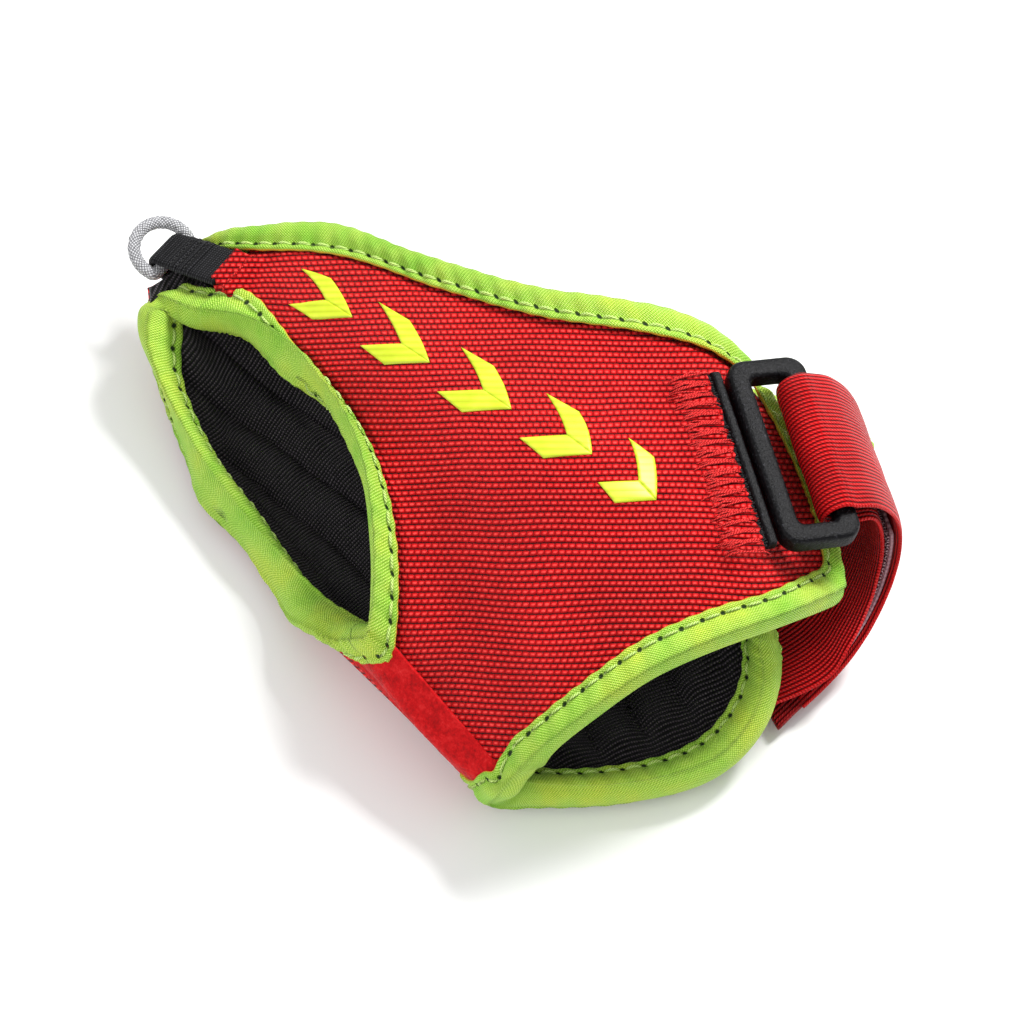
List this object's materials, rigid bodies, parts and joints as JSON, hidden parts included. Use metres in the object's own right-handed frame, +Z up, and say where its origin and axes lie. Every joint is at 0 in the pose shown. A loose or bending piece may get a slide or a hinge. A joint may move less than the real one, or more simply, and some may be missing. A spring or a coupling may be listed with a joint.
{
  "type": "ski pole hand harness",
  "caption": "Padded fabric hand harness with thumb and wrist openings, a cord loop on a webbing tab, and a hook-and-loop wrist strap through a moulded ring.",
  "frame": {"origin": "centre of the bounding box at its bottom, where the palm panel lies on a surface", "axes": "+X from the thumb side towards the little finger, +Y from the wrist towards the fingertips, +Z up out of the back-of-hand panel"},
  "size_m": [0.1282, 0.1085, 0.042],
  "materials": {
    "outer_fabric": "coarse plain weave, bright red",
    "foam": "soft open-cell foam, charcoal",
    "lining": "ribbed knit, black",
    "brushed_fabric": "brushed loop fabric, red",
    "edge_tape": "fine woven tape, lime",
    "thread": "polyester thread, lime",
    "webbing": "ribbed webbing, black",
    "webbing_thread": "polyester thread, black",
    "cord": "braided cord, light grey",
    "moulding": "fine moulded texture, black",
    "flange_thread": "polyester thread, red",
    "strap": "soft ribbed webbing, red",
    "hook_tape": "hook tape, pinkish grey",
    "pull_tab": "folded tape, dark red",
    "print": "raised rubbery print, lime"
  },
  "bodies": {
    "harness": {"back_shell": "outer_fabric", "back_padding": "foam", "back_lining": "lining", "palm_shell": "outer_fabric", "palm_padding": "foam", "palm_lining": "lining", "side_gusset": "brushed_fabric", "gusset_lining": "lining", "thumb_binding": "edge_tape", "back_finger_binding": "edge_tape", "palm_finger_binding": "edge_tape", "wrist_binding": "edge_tape", "thumb_stitching": "thread", "finger_stitching": "thread", "wrist_stitching": "thread", "web_tab": "webbing", "tab_stitching": "webbing_thread", "ring_flange": "moulding", "flange_stitching": "flange_thread", "strap_base": "strap", "printed_chevrons": "print"},
    "ring": {"buckle_ring": "moulding", "strap_turn": "strap"},
    "tail": {"strap_tail": "strap", "hook_tape": "hook_tape", "tail_pull": "pull_tab"},
    "cord": {"cord_loop": "cord"}
  },
  "joints": [
    {"name": "ring_tilt", "type": "hinge", "parent": "harness", "child": "ring", "pos_m": [0.0388, -0.00608, 0.0364], "axis": [0.2504, -0.9681, 0], "range_deg": [0, 40]},
    {"name": "tail_peel", "type": "hinge", "parent": "ring", "child": "tail", "pos_m": [0.0517, -0.00274, 0.03704], "axis": [0.2504, -0.9681, 0], "range_deg": [0, 110]},
    {"name": "cord_swing", "type": "hinge", "parent": "harness", "child": "cord", "pos_m": [-0.0567, 0.04712, 0.0142], "axis": [0.6018, 0.7986, 0], "range_deg": [-55, 45]}
  ]
}
